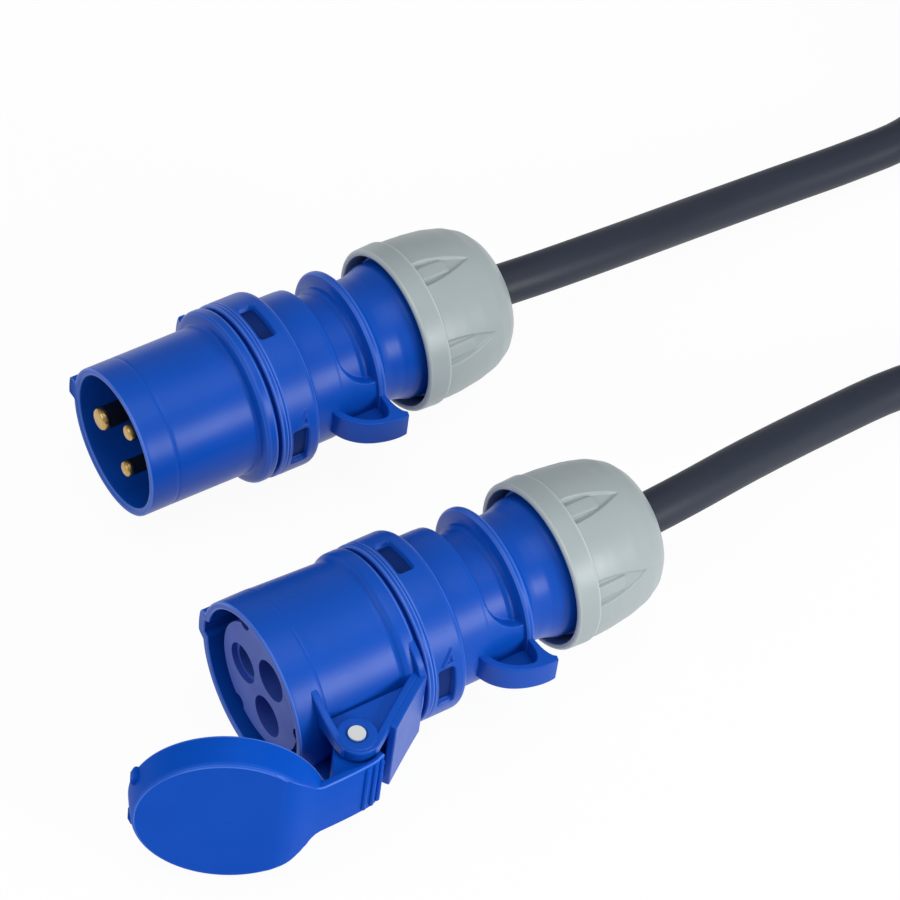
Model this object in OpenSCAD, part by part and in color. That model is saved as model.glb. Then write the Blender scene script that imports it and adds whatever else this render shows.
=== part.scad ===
// Extension cable with a round three-pin plug, a lidded connector and a coiled lead.
// Millimetres. +X runs from the mouths to the cable, +Z is up, the floor is z = 0.

/* [Layout] */
// distance between the plug and connector axes
axis_gap = 92; // [80:1:120]
// how far the connector's mouth stands ahead of the plug's
mouth_lead = 10; // [0:1:20]
// plug mouth from the origin along X
plug_x = -32.15; // [-80:0.05:0]
// middle line between the two axes from the origin
mid_y = 9.75; // [-20:0.05:20]

/* [Plug] */
// outer radius of the shroud
shroud_r = 22; // [21:0.1:23]
// wall of the shroud
shroud_wall = 2.3; // [1.8:0.1:3]
// radius of the circle the pins stand on
pitch_r = 9; // [8:0.1:10]
// earth pin radius
earth_r = 3.5; // [3:0.1:4]
// line and neutral pin radius
pole_r = 2.5; // [2:0.1:3]
// pin tips behind the rim
tip_t = 1.5; // [0.5:0.1:4]
// width of the key
key_w = 6; // [4:0.1:8]
// height of the key over the shroud
key_h = 2.4; // [1.5:0.1:3]
// front face of the pin carrier behind the rim
carrier_t = 29; // [26:0.5:32]

/* [Connector] */
// outer radius of the mouth
mouth_r = 25.4; // [25:0.1:27]
// gap between the shroud and the mouth
mouth_fit = 1.2; // [0.5:0.1:1.5]
// gap between the insert and the shroud
insert_fit = 0.9; // [0.5:0.1:1.5]
// insert face behind the mouth
insert_t = 3; // [1:0.1:4]
// running clearance of a pin in its sleeve
sleeve_fit = 0.1; // [0.05:0.01:0.2]
// wall of a contact sleeve
sleeve_wall = 1; // [0.6:0.1:1.5]
// extra length of the connector's front shell
shell_more = 0; // [0:0.1:8]

/* [Rear shell] */
// radius of the collar
collar_r = 26; // [25:0.1:26.2]
// plane between the front and the rear shell on the plug
joint_t = 39.5; // [38:0.1:41]
// length of the collar
collar_len = 12.5; // [11:0.1:14]
// radius of the barrel
barrel_r = 22.2; // [21:0.1:23]
// radius of the grip flange
grip_r = 23.2; // [22:0.1:24]
// reach of the grip wing from the axis
wing_reach = 33; // [30:0.5:36]
// height of the grip wing
wing_h = 8; // [6:0.5:12]

/* [Gland] */
// radius of the nut at its shoulder
nut_r = 24.8; // [24:0.1:25.5]
// wall of the nut's skirt
nut_wall = 2; // [1.5:0.1:2.5]
// front edge of the nut on the plug
nut_t = 89; // [88:0.5:92]
// length of the nut
nut_len = 34; // [32:0.5:36]
// outer radius of the gland seal
seal_r = 11; // [10:0.1:12]
// gap around the gland pieces
gland_fit = 0.3; // [0.2:0.05:0.5]

/* [Lid] */
// radius of the lid
lid_r = 25.8; // [25.5:0.1:26]
// depth of the lid
lid_depth = 9; // [6:0.5:10]
// wall of the lid
lid_wall = 2.4; // [2:0.1:3]
// gap between the closed lid and the mouth
lid_gap = 0.4; // [0.3:0.05:0.6]
// angle the lid stands open
lid_open = 58; // [40:1:75]
// hinge pin behind the mouth
hinge_t = 12; // [10:0.5:15]
// hinge pin from the axis
hinge_y = 32.8; // [32:0.1:35]
// hinge pin radius
hinge_r = 2.1; // [1.8:0.05:2.5]
// running clearance of the lid on the pin
hinge_fit = 0.08; // [0.05:0.01:0.1]
// knuckle radius
knuckle_r = 6.3; // [6:0.1:6.8]
// half height of the knuckle
knuckle_h = 8; // [7:0.5:9]
// gap between knuckle and ears
ear_fit = 0.4; // [0.3:0.05:0.6]
// thickness of an ear
ear_wall = 3.4; // [3:0.1:4]

/* [Cable] */
// radius of the cable
cable_r = 6.25; // [5.5:0.05:7]
// radius of a core
core_r = 1.6; // [1.3:0.1:1.8]
// coil centre from the plug's mouth
coil_x = 400; // [380:1:430]
// radius at the middle of the coil's turns
coil_r = 78; // [70:1:80]
// turns across the coil and turns high
coil_rows = 3; // [2:1:4]
// thickness of the tie
tie_wall = 1; // [0.8:0.1:1.5]
// width of the tie
tie_w = 20; // [15:1:30]

/* [Hidden] */
$fn = 96;
axis_z = collar_r;
plug_y = mid_y + axis_gap / 2;
conn_y = mid_y - axis_gap / 2;
conn_x = plug_x - mouth_lead;
shroud_in = shroud_r - shroud_wall;
mouth_in = shroud_r + mouth_fit;
insert_r = shroud_in - insert_fit;
insert_end = joint_t + shell_more - 4;
entry_len = 8;
joint_gap = 0.5;
spigot_r = collar_r - 2.6;
spigot_fit = 0.3;
spigot_len = 8;
wall = 2.6;
barrel_t = joint_t + collar_len;
recess_t = barrel_t + 13;
recess_end = recess_t + 7.5;
grip_end = recess_end + 3;
neck_r = 18.6;
neck_end = nut_t + 16;
neck_in = seal_r + gland_fit;
nut_in = nut_r - nut_wall - 0.4;
nut_end = nut_t + nut_len;
nut_hole = cable_r + gland_fit;
shoulder_t = nut_t + 7;
seal_in = cable_r + 0.05;
seal_t = neck_end - 11;
clamp_t = neck_end + gland_fit;
clamp_end = nut_end - 4.5;
sheath_t = seal_t - 6;
pole_angle = 120;
pin_end = joint_t + 4;
term_r = 3.8;
root_step = 0.4;
free_end = carrier_t - 0.6;
root_cut = 0.3;
term_end = pin_end + 11;
core_in = 2.7;
ear_low = knuckle_h + ear_fit;
ear_top = ear_low + ear_wall;
coil_h = coil_rows * 2 * cable_r;
coil_half = coil_rows * cable_r;
coil_low = tie_wall + 0.2;
coil_cx = plug_x + coil_x;

// angles of earth, line and neutral about the axis, earth at the key
function pole_dir(n) = [sin(n * pole_angle), cos(n * pole_angle)];
// pin radius by number, earth first
function pole_size(n) = n == 0 ? earth_r : pole_r;

// plug frame with its axis along local Z and the key on local +Y
module in_plug() {
    translate([plug_x, plug_y, axis_z])
        rotate([0, 90, 0])
            children();
}

// connector frame, the same way
module in_conn() {
    translate([conn_x, conn_y, axis_z])
        rotate([0, 90, 0])
            children();
}

// a tube along local Z
module tube(r_out, r_in, t0, t1) {
    rotate_extrude()
        translate([r_in, t0])
            square([r_out - r_in, t1 - t0]);
}

// a rod between two points
module rod(p, q, r) {
    d = q - p;
    len = norm(d);
    translate(p)
        rotate([0, acos(d[2] / len), atan2(d[1], d[0])])
            cylinder(h = len, r = r, $fn = 24);
}

// a sector of a tube, centred on an angle about local Z
module sector(r_out, r_in, t0, t1, mid, span) {
    rotate([0, 0, mid - span / 2])
        rotate_extrude(angle = span)
            translate([r_in, t0])
                square([r_out - r_in, t1 - t0]);
}

module plug_front_shell() {
    color("royalblue")
    in_plug()
        difference() {
            union() {
                rotate_extrude()
                    polygon([[shroud_in, 0], [shroud_r - 0.4, 0], [shroud_r, 0.4], [shroud_r, joint_t - 10],
                        [shroud_r + 1.2, joint_t - 7.5], [collar_r - 0.8, joint_t - 5.5],
                        [collar_r - 0.2, joint_t - 4.5], [collar_r - 0.2, joint_t - joint_gap],
                        [spigot_r, joint_t - joint_gap], [spigot_r, joint_t + spigot_len],
                        [spigot_r - 2, joint_t + spigot_len], [spigot_r - 2, joint_t - 1],
                        [shroud_in, joint_t - 1]]);
                translate([-key_w / 2, shroud_in + 1, 0])
                    cube([key_w, shroud_wall - 1 + key_h, joint_t - 6]);
                translate([-5, spigot_r, joint_t - 8])
                    cube([10, collar_r + 2.6 - spigot_r, 8 - joint_gap]);
            }
            translate([-key_w / 2 + 1.6, shroud_in - 1, -1])
                cube([key_w - 3.2, 2.2, carrier_t - 2]);
        }
}

module plug_pin_carrier() {
    color("midnightblue")
    in_plug()
        difference() {
            translate([0, 0, carrier_t])
                cylinder(h = joint_t - carrier_t, r = shroud_in - 0.1);
            for (n = [0:2])
                translate([pole_dir(n)[0] * pitch_r, pole_dir(n)[1] * pitch_r, carrier_t - 1])
                    cylinder(h = joint_t, r = pole_size(n) + root_step + 0.05, $fn = 48);
        }
}

// one pin with its terminal barrel
module plug_pin(n) {
    r = pole_size(n);
    in_plug()
        translate([pole_dir(n)[0] * pitch_r, pole_dir(n)[1] * pitch_r, 0])
            difference() {
                rotate_extrude($fn = 48)
                    polygon([[0, tip_t], [r - 1, tip_t], [r - 0.3, tip_t + 0.5], [r, tip_t + 1.4],
                        [r, free_end], [r - root_cut, free_end], [r - root_cut, carrier_t + 0.2],
                        [r + root_step, carrier_t + 0.2], [r + root_step, joint_t + 0.3],
                        [term_r + root_step, joint_t + 0.3], [term_r + root_step, term_end], [0, term_end]]);
                translate([0, 0, pin_end - 1])
                    cylinder(h = 20, r = core_r + 0.1, $fn = 24);
                rotate([0, 0, -n * pole_angle])
                    translate([0, 0, pin_end + 5])
                        rotate([-90, 0, 0])
                            cylinder(h = 10, r = 1.6, $fn = 24);
            }
}

module plug_earth_pin() {
    color("goldenrod") plug_pin(0);
}

module plug_line_pin() {
    color("goldenrod") plug_pin(1);
}

module plug_neutral_pin() {
    color("goldenrod") plug_pin(2);
}

// three screws that clamp the cores, turned outwards
module terminal_screws(t) {
    for (n = [0:2])
        rotate([0, 0, -n * pole_angle])
            translate([0, pitch_r + 1.75, t])
                rotate([-90, 0, 0])
                    difference() {
                        cylinder(h = 4.4, r = 1.5, $fn = 24);
                        translate([-2, -0.3, 3.7])
                            cube([4, 0.6, 2]);
                    }
}

module plug_terminal_screws() {
    color("silver")
    in_plug()
        terminal_screws(pin_end + 5);
}

// rear shell in a frame along local Z; the wing points to local -Y
module rear_shell() {
    difference() {
        union() {
            rotate_extrude()
                polygon([[collar_r - 0.6, joint_t], [collar_r, joint_t + 0.6], [collar_r, barrel_t - 2],
                    [collar_r - 1.2, barrel_t - 0.4], [barrel_r + 0.9, barrel_t], [barrel_r, barrel_t + 2],
                    [barrel_r - 0.1, recess_end - 0.5], [grip_r - 0.4, recess_end], [grip_r, recess_end + 0.8],
                    [grip_r, grip_end - 1], [grip_r - 1.5, grip_end], [neck_r + 1.2, grip_end + 1.2],
                    [neck_r, grip_end + 4], [neck_r + 0.3, nut_t - 7], [neck_r + 1.4, nut_t - 3],
                    [nut_in - 2, nut_t - 0.5], [nut_in - 2, nut_t + 4], [nut_in - 1, nut_t + 4],
                    [nut_in - 1, nut_t + 6], [nut_in - 2, nut_t + 6], [nut_in - 2, nut_t + 9],
                    [nut_in - 1, nut_t + 9], [nut_in - 1, nut_t + 11], [nut_in - 2, nut_t + 11],
                    [nut_in - 2.6, neck_end], [neck_in, neck_end], [neck_in, seal_t - 0.3],
                    [neck_in - 2.5, seal_t - 0.3], [neck_in - 2.5, seal_t - 2.3], [neck_in + 2, seal_t - 4],
                    [barrel_r - wall - 3, grip_end + 4], [barrel_r - wall - 2, recess_t - 3],
                    [barrel_r - wall, barrel_t + 2], [spigot_r + spigot_fit, joint_t + spigot_len + 1],
                    [spigot_r + spigot_fit, joint_t]]);
        }
        sector(barrel_r + 3, barrel_r - 2.4, recess_t, recess_end, 90, 306);
        for (n = [0:3])
            sector(collar_r + 2, collar_r - 2, joint_t + 3.6, joint_t + 8.6, n * 90 + 90, 30);
    }
}

// the wing as flat outlines in the plane of the axis, strip and web
module grip_wing() {
    linear_extrude(height = wing_h, center = true)
        polygon([[barrel_t + 4, -barrel_r + 2], [barrel_t + 6.5, -barrel_r - 3.2], [barrel_t + 10, -barrel_r - 6.4],
            [barrel_t + 14.5, -wing_reach + 2.4], [barrel_t + 19, -wing_reach + 0.8], [grip_end + 0.6, -wing_reach],
            [grip_end + 1, -wing_reach + 2], [grip_end - 0.4, -wing_reach + 2.3], [grip_end - 1.4, -grip_r - 2],
            [grip_end - 2.4, -grip_r], [grip_end - 3, -barrel_r + 2], [recess_end, -barrel_r + 2],
            [recess_end - 1.4, -wing_reach + 3.4], [barrel_t + 15, -wing_reach + 4.8],
            [barrel_t + 11.6, -barrel_r - 4], [barrel_t + 9, -barrel_r - 1.2], [barrel_t + 8, -barrel_r + 2]]);
    translate([0, 0, -wing_h / 2 + 2])
        linear_extrude(height = 2)
            polygon([[barrel_t + 6, -barrel_r + 2], [barrel_t + 10, -barrel_r - 4.5], [barrel_t + 15, -wing_reach + 4],
                [recess_end + 1, -wing_reach + 3], [recess_end + 1, -barrel_r + 2]]);
}

module plug_rear_shell() {
    color("royalblue") {
        in_plug() rear_shell();
        translate([plug_x, plug_y, axis_z]) grip_wing();
    }
}

// rubber seal that the nut squeezes on the sheath
module gland_seal() {
    difference() {
        tube(seal_r, seal_in, seal_t, neck_end - gland_fit);
        tube(seal_r + 1, seal_r - 0.8, seal_t + 3, seal_t + 4.5);
    }
}

// clamp cage: a ring with fingers behind the seal
module gland_clamp() {
    difference() {
        rotate_extrude()
            polygon([[cable_r + 0.15, clamp_t], [seal_r + 4, clamp_t], [seal_r + 4, clamp_t + 3],
                [seal_r, clamp_t + 5], [cable_r + 3, clamp_end], [cable_r + 0.15, clamp_end]]);
        for (n = [0:3])
            rotate([0, 0, n * 45])
                translate([-0.7, -40, clamp_t + 4])
                    cube([1.4, 80, 30]);
    }
}

// gland nut with leaf-shaped grip pockets, each with a small tab
module gland_nut() {
    difference() {
        rotate_extrude()
            polygon([[nut_in + 0.2, nut_t], [nut_r - 0.8, nut_t], [nut_r - 0.4, nut_t + 0.5],
                [nut_r - 0.2, shoulder_t], [nut_r, shoulder_t + 0.3], [nut_r - 0.5, shoulder_t + 7],
                [nut_r - 1.4, nut_end - 13], [nut_r - 3, nut_end - 7.5], [nut_r - 5.2, nut_end - 3.4],
                [nut_r - 7.6, nut_end - 0.8], [nut_r - 10, nut_end], [nut_hole, nut_end],
                [nut_hole, nut_end - 2.5], [cable_r + 3.6, nut_end - 4.2], [seal_r + gland_fit, clamp_t + 5.2],
                [seal_r + 4.4, clamp_t + 3.2], [seal_r + 4.4, clamp_t + 0.2], [nut_in, clamp_t + 0.2],
                [nut_in, nut_t + 2]]);
        for (n = [0:5])
            rotate([0, 0, n * 60 + 8])
                translate([nut_r + 3.8, 0, shoulder_t])
                    difference() {
                        translate([0, 0, 0.6])
                            cylinder(h = 20, r = 5, $fn = 36);
                        translate([-5, -1, 2])
                            cube([1, 2, 6]);
                    }
    }
}

module plug_gland_seal() {
    color("dimgray") in_plug() gland_seal();
}

module plug_gland_clamp() {
    color("whitesmoke") in_plug() gland_clamp();
}

module plug_gland_nut() {
    color("lightgray") in_plug() gland_nut();
}

// route of one core from its terminal to the sheath
function core_route(x0, y0, n, t0, t1) = let (d = pole_dir(n))
    [[x0 + t0 - 9, y0 + d[1] * pitch_r, axis_z - d[0] * pitch_r],
    [x0 + t0, y0 + d[1] * pitch_r, axis_z - d[0] * pitch_r],
    [x0 + t0 + 6, y0 + d[1] * (pitch_r - 0.4), axis_z - d[0] * (pitch_r - 0.4)],
    [x0 + t1 - 8, y0 + d[1] * (core_in + 0.3), axis_z - d[0] * (core_in + 0.3)],
    [x0 + t1, y0 + d[1] * core_in, axis_z - d[0] * core_in]];

module plug_earth_core() {
    color("yellowgreen") sweep(smooth(core_route(plug_x, plug_y, 0, term_end, sheath_t)), core_r);
}

module plug_line_core() {
    color("saddlebrown") sweep(smooth(core_route(plug_x, plug_y, 1, term_end, sheath_t)), core_r);
}

module plug_neutral_core() {
    color("steelblue") sweep(smooth(core_route(plug_x, plug_y, 2, term_end, sheath_t)), core_r);
}

// hinge ear outline in the plane of the axis
module ear_outline() {
    polygon([[9.5, -mouth_in + 2], [hinge_t - 6.6, -hinge_y + 1], [hinge_t - 4.6, -hinge_y - 4.6],
        [hinge_t, -hinge_y - 6.4], [hinge_t + 4.6, -hinge_y - 4.6], [joint_t + shell_more - 3, -mouth_r + 3],
        [joint_t + shell_more - 6, -mouth_in + 6], [20, -mouth_in + 4]]);
}

module connector_front_shell() {
    end = joint_t + shell_more;
    color("royalblue") {
        difference() {
            union() {
                in_conn() {
                    rotate_extrude()
                        polygon([[mouth_in, 0], [mouth_r - 0.4, 0], [mouth_r, 0.4], [mouth_r, end - 5],
                            [collar_r - 0.2, end - 3.5], [collar_r - 0.2, end - joint_gap],
                            [spigot_r, end - joint_gap], [spigot_r, end + spigot_len],
                            [spigot_r - 2, end + spigot_len], [spigot_r - 2, end - 1], [mouth_in - 2, end - 1],
                            [mouth_in - 2, insert_end - 8], [mouth_in, insert_end - 8]]);
                    translate([-key_w / 2 - 2, mouth_in + 1, 0])
                        cube([key_w + 4, mouth_r - mouth_in + 2.2, 12]);
                }
                translate([conn_x, conn_y, axis_z]) {
                    for (side = [0, 1])
                        mirror([0, 0, side]) {
                            translate([0, 0, ear_low])
                                linear_extrude(height = ear_wall)
                                    ear_outline();
                            translate([hinge_t, -hinge_y, ear_low])
                                cylinder(h = ear_wall + 0.6, r = 5.2, $fn = 48);
                        }
                    translate([0, 0, -1])
                        linear_extrude(height = 2 * ear_low + 2 * ear_wall - 2, center = true)
                            polygon([[end - 2, -mouth_r + 2.5], [end - 2.6, -mouth_r - 4], [end - 8, -hinge_y - 3],
                                [hinge_t + 14, -hinge_y - 6.6], [hinge_t + 8.8, -hinge_y - 8.4],
                                [hinge_t + 8.4, -hinge_y - 6.2], [hinge_t + 13.4, -hinge_y - 4.4],
                                [end - 10, -hinge_y - 1.4], [end - 5, -mouth_r - 3], [end - 5, -mouth_r + 2.5]]);
                }
            }
            in_conn()
                translate([0, 0, -1])
                    cylinder(h = insert_end - 7, r = mouth_in);
            in_conn()
                translate([-key_w / 2 - 0.4, mouth_in - 1, -1])
                    cube([key_w + 0.8, key_h + 1.2, insert_end - 7]);
            in_conn()
                cylinder(h = end - 1, r = mouth_in - 2);
            translate([conn_x + hinge_t, conn_y - hinge_y, axis_z - 30])
                cylinder(h = 60, r = hinge_r, $fn = 48);
            translate([conn_x, conn_y, axis_z + ear_top - 0.9])
                linear_extrude(height = 4)
                    polygon([[17, -hinge_y + 2.4], [joint_t - 2, -mouth_r + 0.8], [24, -mouth_r + 3.4],
                        [15, -mouth_r - 1]]);
        }
    }
}

module connector_insert() {
    color("cornflowerblue")
    in_conn()
        difference() {
            union() {
                translate([0, 0, insert_t])
                    cylinder(h = insert_end - insert_t, r = insert_r);
                translate([0, 0, insert_end - 7.8])
                    cylinder(h = 7.8, r = mouth_in - 2.1);
            }
            for (n = [0:2])
                translate([pole_dir(n)[0] * pitch_r, pole_dir(n)[1] * pitch_r, 0]) {
                    cylinder(h = 60, r = pole_size(n) + sleeve_fit + sleeve_wall + 0.05, $fn = 48);
                    cylinder(h = insert_t + (n == 0 ? 1.6 : entry_len), r = n == 0 ? earth_r + 2.5 : pole_r + 3.6, $fn = 48);
                }
            for (n = [0:2])
                rotate([0, 0, -n * pole_angle - 62])
                    translate([0, insert_r + 0.4, 0])
                        cylinder(h = insert_end - 9, r = 2.3, $fn = 36);
        }
}

// one contact sleeve with its terminal barrel
module sleeve(n) {
    bore = pole_size(n) + sleeve_fit;
    end = term_end + shell_more;
    in_conn()
        translate([pole_dir(n)[0] * pitch_r, pole_dir(n)[1] * pitch_r, 0])
            difference() {
                translate([0, 0, insert_t + entry_len + 0.2])
                    cylinder(h = end - insert_t - entry_len - 0.2, r = bore + sleeve_wall, $fn = 48);
                cylinder(h = insert_end - 2, r = bore, $fn = 48);
                translate([0, 0, insert_end + 2])
                    cylinder(h = 30, r = core_r + 0.1, $fn = 24);
                rotate([0, 0, -n * pole_angle])
                    translate([0, 0, pin_end + 5 + shell_more])
                        rotate([-90, 0, 0])
                            cylinder(h = 10, r = 1.6, $fn = 24);
            }
}

module connector_earth_sleeve() {
    color("goldenrod") sleeve(0);
}

module connector_line_sleeve() {
    color("goldenrod") sleeve(1);
}

module connector_neutral_sleeve() {
    color("goldenrod") sleeve(2);
}

module connector_terminal_screws() {
    color("silver")
    in_conn()
        terminal_screws(pin_end + 5 + shell_more);
}

module connector_rear_shell() {
    color("royalblue")
    translate([shell_more, 0, 0]) {
        in_conn() rear_shell();
        translate([conn_x, conn_y, axis_z]) grip_wing();
    }
}

module connector_gland_seal() {
    color("dimgray")
    translate([shell_more, 0, 0])
        in_conn() gland_seal();
}

module connector_gland_clamp() {
    color("whitesmoke")
    translate([shell_more, 0, 0])
        in_conn() gland_clamp();
}

module connector_gland_nut() {
    color("lightgray")
    translate([shell_more, 0, 0])
        in_conn() gland_nut();
}

module connector_earth_core() {
    color("yellowgreen") sweep(smooth(core_route(conn_x, conn_y, 0, term_end + shell_more, sheath_t + shell_more)), core_r);
}

module connector_line_core() {
    color("saddlebrown") sweep(smooth(core_route(conn_x, conn_y, 1, term_end + shell_more, sheath_t + shell_more)), core_r);
}

module connector_neutral_core() {
    color("steelblue") sweep(smooth(core_route(conn_x, conn_y, 2, term_end + shell_more, sheath_t + shell_more)), core_r);
}

// hinge frame: the lid is drawn closed and turned open about the pin
module on_hinge(turn) {
    translate([conn_x + hinge_t, conn_y - hinge_y, axis_z])
        rotate([0, 0, turn])
            translate([-hinge_t, hinge_y, 0])
                children();
}

module hinge_pin() {
    color("silver")
    translate([conn_x + hinge_t, conn_y - hinge_y, axis_z])
        union() {
            translate([0, 0, -ear_top - 0.6])
                cylinder(h = 2 * ear_top + 1.4, r = hinge_r, $fn = 48);
            translate([0, 0, ear_top + 0.6])
                cylinder(h = 0.5, r = hinge_r + 0.3, $fn = 48);
        }
}

module lid() {
    color("royalblue")
    on_hinge(lid_open)
        difference() {
            union() {
                rotate([0, 90, 0])
                    rotate_extrude()
                        polygon([[0, -lid_gap - lid_depth], [lid_r - 2, -lid_gap - lid_depth],
                            [lid_r, -lid_gap - lid_depth + 2], [lid_r, -lid_gap], [lid_r - lid_wall, -lid_gap],
                            [lid_r - lid_wall - 0.5, -lid_gap - lid_depth + 2.4], [0, -lid_gap - lid_depth + 2.4]]);
                linear_extrude(height = 2 * knuckle_h, center = true)
                    polygon([[-lid_gap - lid_depth, -lid_r + 3], [-lid_gap - lid_depth + 0.6, -hinge_y + 3],
                        [-lid_gap - lid_depth + 4, -hinge_y - 2.6], [hinge_t - 4, -hinge_y - knuckle_r + 0.9],
                        [hinge_t, -hinge_y - knuckle_r], [hinge_t, -hinge_y + knuckle_r],
                        [hinge_t - 3, -hinge_y + knuckle_r - 0.4], [-lid_gap, -lid_r - 1.2],
                        [-lid_gap, -lid_r + lid_wall - 0.4]]);
                translate([hinge_t, -hinge_y, 0])
                    cylinder(h = 2 * knuckle_h, r = knuckle_r, center = true, $fn = 64);
                for (z = [-5, 0, 5])
                    translate([hinge_t + 1, -hinge_y - knuckle_r + 0.2, z - 0.8])
                        cube([3.4, 0.8, 1.6]);
                translate([-lid_gap - 4.5, lid_r - 0.6, -3.2])
                    cube([4.5, 3, 6.4]);
            }
            translate([hinge_t, -hinge_y, 0])
                cylinder(h = 3 * knuckle_h, r = hinge_r + hinge_fit, center = true, $fn = 48);
            translate([hinge_t, -hinge_y, 0])
                cylinder(h = 6.4, r = 4.4, center = true, $fn = 48);
            translate([hinge_t + 1, -hinge_y - 2.2, -3.2])
                cube([9, 6, 6.4]);
        }
}

module lid_spring() {
    color("gainsboro")
    translate([conn_x + hinge_t, conn_y - hinge_y, axis_z])
        union() {
            for (k = [-2:2])
                translate([0, 0, k * 1.1])
                    rotate_extrude($fn = 48)
                        translate([3.3, 0])
                            circle(r = 0.6, $fn = 16);
            rod([3.3, 0, 2.2], [3.6, 3.4, 2.2], 0.5);
        }
}

// sideways drift of each run along its way down to the floor
plug_drift = [1, 3.5, 5, 6.5];
conn_drift = [4, 9, 12, 11];
// last points of each run, from the coil's centre
plug_tail = [[-92, 72], [-68, 78], [-58, 80]];
conn_tail = [[-122, -42], [-101, -55], [-84, -68], [-72, -76], [-62, -80]];
// route of the cable from a gland down to the floor and on to the coil
function route(x0, y0, t0, drift, tail) = concat([[x0 + t0, y0, axis_z], [x0 + t0 + 12, y0, axis_z],
    [x0 + nut_end, y0, axis_z], [x0 + nut_end + 22, y0, axis_z - 1],
    [x0 + nut_end + 48, y0 + drift[0], axis_z - 5], [x0 + nut_end + 80, y0 + drift[1], axis_z - 12],
    [x0 + nut_end + 112, y0 + drift[2], cable_r + coil_low + 2],
    [x0 + nut_end + 140, y0 + drift[3], cable_r + coil_low]],
    [for (q = tail) [coil_cx + q[0], mid_y + q[1], cable_r + coil_low]]);
// a point on a smooth line through four points
function spline(a, b, c, d, u) = 0.5 * (2 * b + (c - a) * u + (2 * a - 5 * b + 4 * c - d) * u * u
    + (3 * b - a - 3 * c + d) * u * u * u);
// a point by index, held at the ends
function held(p, i) = p[max(0, min(len(p) - 1, i))];
// the route with three points to a span
function smooth(p) = [for (i = [0:len(p) - 2], u = [0, 1 / 3, 2 / 3])
    spline(held(p, i - 1), p[i], p[i + 1], held(p, i + 2), u), p[len(p) - 1]];
// unit vector
function unit(v) = v / norm(v);
// one ring of the tube
function ring(c, d, r, n) = let (u = unit(cross(d, [0, 0, 1])), v = cross(u, d))
    [for (k = [0:n - 1]) c + r * (cos(360 * k / n) * u + sin(360 * k / n) * v)];

// a tube swept along points, its start square to the first span
module sweep(p, r) {
    n = 12;
    m = len(p);
    rings = [for (i = [0:m - 1]) ring(p[i], unit(held(p, i + 1) - held(p, i - 1)), r, n)];
    pts = [for (q = rings, k = q) k];
    sides = [for (i = [0:m - 2], k = [0:n - 1], h = [0, 1]) h == 0
        ? [i * n + k, i * n + (k + 1) % n, (i + 1) * n + k]
        : [i * n + (k + 1) % n, (i + 1) * n + (k + 1) % n, (i + 1) * n + k]];
    first = [[for (k = [0:n - 1]) n - 1 - k]];
    last = [[for (k = [0:n - 1]) (m - 1) * n + k]];
    polyhedron(points = pts, faces = concat(first, sides, last), convexity = 4);
}

module cable_plug_run() {
    color("darkslategray")
    sweep(smooth(route(plug_x, plug_y, sheath_t + 0.2, plug_drift, plug_tail)), cable_r);
}

module cable_connector_run() {
    color("darkslategray")
    sweep(smooth(route(conn_x + shell_more, conn_y, sheath_t + 0.2, conn_drift, conn_tail)), cable_r);
}

module cable_coil() {
    color("darkslategray")
    translate([coil_cx, mid_y, coil_low])
        rotate_extrude()
            polygon([[coil_r - coil_half, 3], [coil_r - coil_half + 3, 0], [coil_r + coil_half - 3, 0],
                [coil_r + coil_half, 3], [coil_r + coil_half, coil_h - 3], [coil_r + coil_half - 3, coil_h],
                [coil_r - coil_half + 3, coil_h], [coil_r - coil_half, coil_h - 3]]);
}

module coil_tie() {
    gap = 0.1;
    color("black")
    translate([coil_cx + coil_r, mid_y, coil_low])
        difference() {
            translate([-coil_half - 3, -tie_w / 2, -tie_wall - gap])
                cube([2 * coil_half + 6, tie_w, coil_h + 2 * tie_wall + 2 * gap]);
            translate([-coil_half - 2, -tie_w, -gap])
                cube([2 * coil_half + 4, 2 * tie_w, coil_h + 2 * gap]);
        }
}

plug_front_shell();
plug_pin_carrier();
plug_earth_pin();
plug_line_pin();
plug_neutral_pin();
plug_terminal_screws();
plug_rear_shell();
plug_gland_seal();
plug_gland_clamp();
plug_gland_nut();
plug_earth_core();
plug_line_core();
plug_neutral_core();
connector_front_shell();
connector_insert();
connector_earth_sleeve();
connector_line_sleeve();
connector_neutral_sleeve();
connector_terminal_screws();
connector_rear_shell();
connector_gland_seal();
connector_gland_clamp();
connector_gland_nut();
connector_earth_core();
connector_line_core();
connector_neutral_core();
hinge_pin();
lid();
lid_spring();
cable_plug_run();
cable_coil();
cable_connector_run();
coil_tie();
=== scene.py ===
import bmesh
import bpy
import numpy as np
from mathutils import Matrix, Vector


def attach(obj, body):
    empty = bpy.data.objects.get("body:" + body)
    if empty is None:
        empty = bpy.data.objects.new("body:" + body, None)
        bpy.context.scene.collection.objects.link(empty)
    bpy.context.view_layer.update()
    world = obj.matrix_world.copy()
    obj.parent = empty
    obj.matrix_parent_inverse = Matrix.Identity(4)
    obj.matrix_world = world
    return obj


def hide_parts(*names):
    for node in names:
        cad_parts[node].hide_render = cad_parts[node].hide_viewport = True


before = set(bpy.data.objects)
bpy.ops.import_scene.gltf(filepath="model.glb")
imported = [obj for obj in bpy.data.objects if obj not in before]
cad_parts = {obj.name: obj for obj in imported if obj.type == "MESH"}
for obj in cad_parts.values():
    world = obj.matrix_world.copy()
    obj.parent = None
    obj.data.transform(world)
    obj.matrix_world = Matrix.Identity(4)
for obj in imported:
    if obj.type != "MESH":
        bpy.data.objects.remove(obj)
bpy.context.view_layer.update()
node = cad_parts

# ---------------------------------------------------------------- the view
# A long lens looks down on the two ends from the mouths' side, rolled a little,
# so that both leads leave the picture on the right.
lens_mm, sensor_mm = 177.7, 36
view_from = Vector((-0.4528, -0.6183, 0.9713))
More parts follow.
